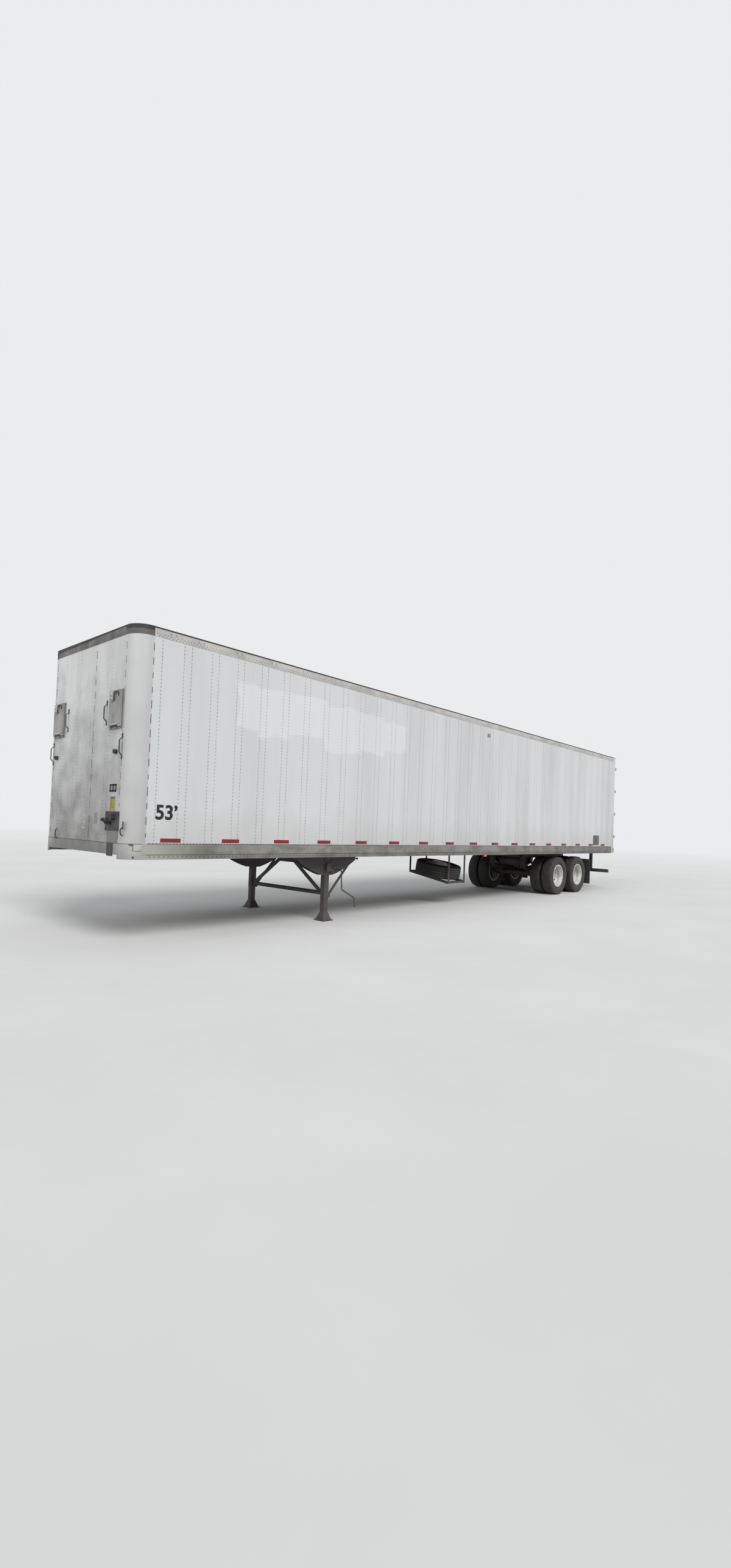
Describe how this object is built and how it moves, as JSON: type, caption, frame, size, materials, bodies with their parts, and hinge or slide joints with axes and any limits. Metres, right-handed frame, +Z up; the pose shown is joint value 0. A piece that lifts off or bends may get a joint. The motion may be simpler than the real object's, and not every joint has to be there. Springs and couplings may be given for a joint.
{
  "type": "semi trailer",
  "caption": "Enclosed dry van semi trailer with swing doors, two nose ventilators, landing legs and a sliding tandem on twin wheels.",
  "frame": {"origin": "on the ground, under the middle of the overall box", "axes": "+X towards the nose, +Y towards the roadside (left), +Z up"},
  "size_m": [16.305, 2.643, 4.115],
  "materials": {
    "wall_paint": "semi-gloss",
    "rail_metal": "weathered",
    "header_paint": "matte",
    "roof_sheet": "satin",
    "floor_wood": "worn",
    "chassis_paint": "matte",
    "beam_metal": "matte",
    "bare_steel": "worn",
    "zinc_steel": "satin",
    "spring_steel": "matte",
    "vent_metal": "satin",
    "plate_metal": "satin",
    "black_rubber": "matte",
    "tyre_rubber": "matte",
    "wheel_paint": "satin",
    "hub_iron": "rough",
    "lamp_red": "gloss"
  },
  "bodies": {
    "trailer": {"bottom_rails": "rail_metal", "connection_plate": "plate_metal", "coupler_plate": "bare_steel", "crossmembers": "beam_metal", "floor_deck": "floor_wood", "front_corners": "wall_paint", "front_wall": "wall_paint", "grab_handles": "chassis_paint", "impact_guard": "chassis_paint", "kingpin": "bare_steel", "lamps": "lamp_red", "landing_braces": "chassis_paint", "landing_crank": "chassis_paint", "landing_legs": "chassis_paint", "landing_wings": "chassis_paint", "leg_struts": "chassis_paint", "nose_header": "header_paint", "nose_sill": "rail_metal", "rear_frame": "wall_paint", "roof_panel": "roof_sheet", "rubber_bumpers": "black_rubber", "side_wall_left": "wall_paint", "side_wall_right": "wall_paint", "slide_rails": "chassis_paint", "spare_carrier": "chassis_paint", "spare_rim": "wheel_paint", "spare_tyre": "tyre_rubber", "top_rails": "wall_paint", "vent_frames": "vent_metal"},
    "bogie": {"air_tank": "chassis_paint", "axles": "chassis_paint", "bogie_frame": "chassis_paint", "brake_chambers": "chassis_paint", "equalisers": "chassis_paint", "leaf_springs": "spring_steel", "mud_flaps": "black_rubber"},
    "door_left": {"door_hardware_left": "zinc_steel", "rear_door_left": "wall_paint"},
    "door_right": {"door_hardware_right": "zinc_steel", "rear_door_right": "wall_paint"},
    "wheels_front_left": {"hub_front_left": "hub_iron", "rims_front_left": "wheel_paint", "tyres_front_left": "tyre_rubber"},
    "wheels_front_right": {"hub_front_right": "hub_iron", "rims_front_right": "wheel_paint", "tyres_front_right": "tyre_rubber"},
    "wheels_rear_left": {"hub_rear_left": "hub_iron", "rims_rear_left": "wheel_paint", "tyres_rear_left": "tyre_rubber"},
    "wheels_rear_right": {"hub_rear_right": "hub_iron", "rims_rear_right": "wheel_paint", "tyres_rear_right": "tyre_rubber"},
    "vent_left": {"vent_door_left": "vent_metal"},
    "vent_right": {"vent_door_right": "vent_metal"}
  },
  "joints": [
    {"name": "door_left_hinge", "type": "hinge", "parent": "trailer", "child": "door_left", "pos_m": [-8.1365, 1.3055, 2.7], "axis": [0, 0, -1], "range_deg": [0, 270]},
    {"name": "vent_left_hinge", "type": "hinge", "parent": "trailer", "child": "vent_left", "pos_m": [8.0895, 0.88, 2.785], "axis": [0, 1, 0], "range_deg": [0, 172]},
    {"name": "door_right_hinge", "type": "hinge", "parent": "trailer", "child": "door_right", "pos_m": [-8.1365, -1.3055, 2.7], "axis": [0, 0, 1], "range_deg": [0, 270]},
    {"name": "vent_right_hinge", "type": "hinge", "parent": "trailer", "child": "vent_right", "pos_m": [8.0895, -0.88, 2.785], "axis": [0, 1, 0], "range_deg": [0, 172]},
    {"name": "bogie_slide", "type": "slide", "parent": "trailer", "child": "bogie", "axis": [1, 0, 0], "range_m": [-1.24, 1.83]},
    {"name": "wheels_front_left_spin", "type": "hinge", "parent": "bogie", "child": "wheels_front_left", "pos_m": [-4.275, 0.9775, 0.507], "axis": [0, 1, 0], "continuous": true},
    {"name": "wheels_front_right_spin", "type": "hinge", "parent": "bogie", "child": "wheels_front_right", "pos_m": [-4.275, -0.9775, 0.507], "axis": [0, 1, 0], "continuous": true},
    {"name": "wheels_rear_left_spin", "type": "hinge", "parent": "bogie", "child": "wheels_rear_left", "pos_m": [-5.52, 0.9775, 0.507], "axis": [0, 1, 0], "continuous": true},
    {"name": "wheels_rear_right_spin", "type": "hinge", "parent": "bogie", "child": "wheels_rear_right", "pos_m": [-5.52, -0.9775, 0.507], "axis": [0, 1, 0], "continuous": true}
  ]
}
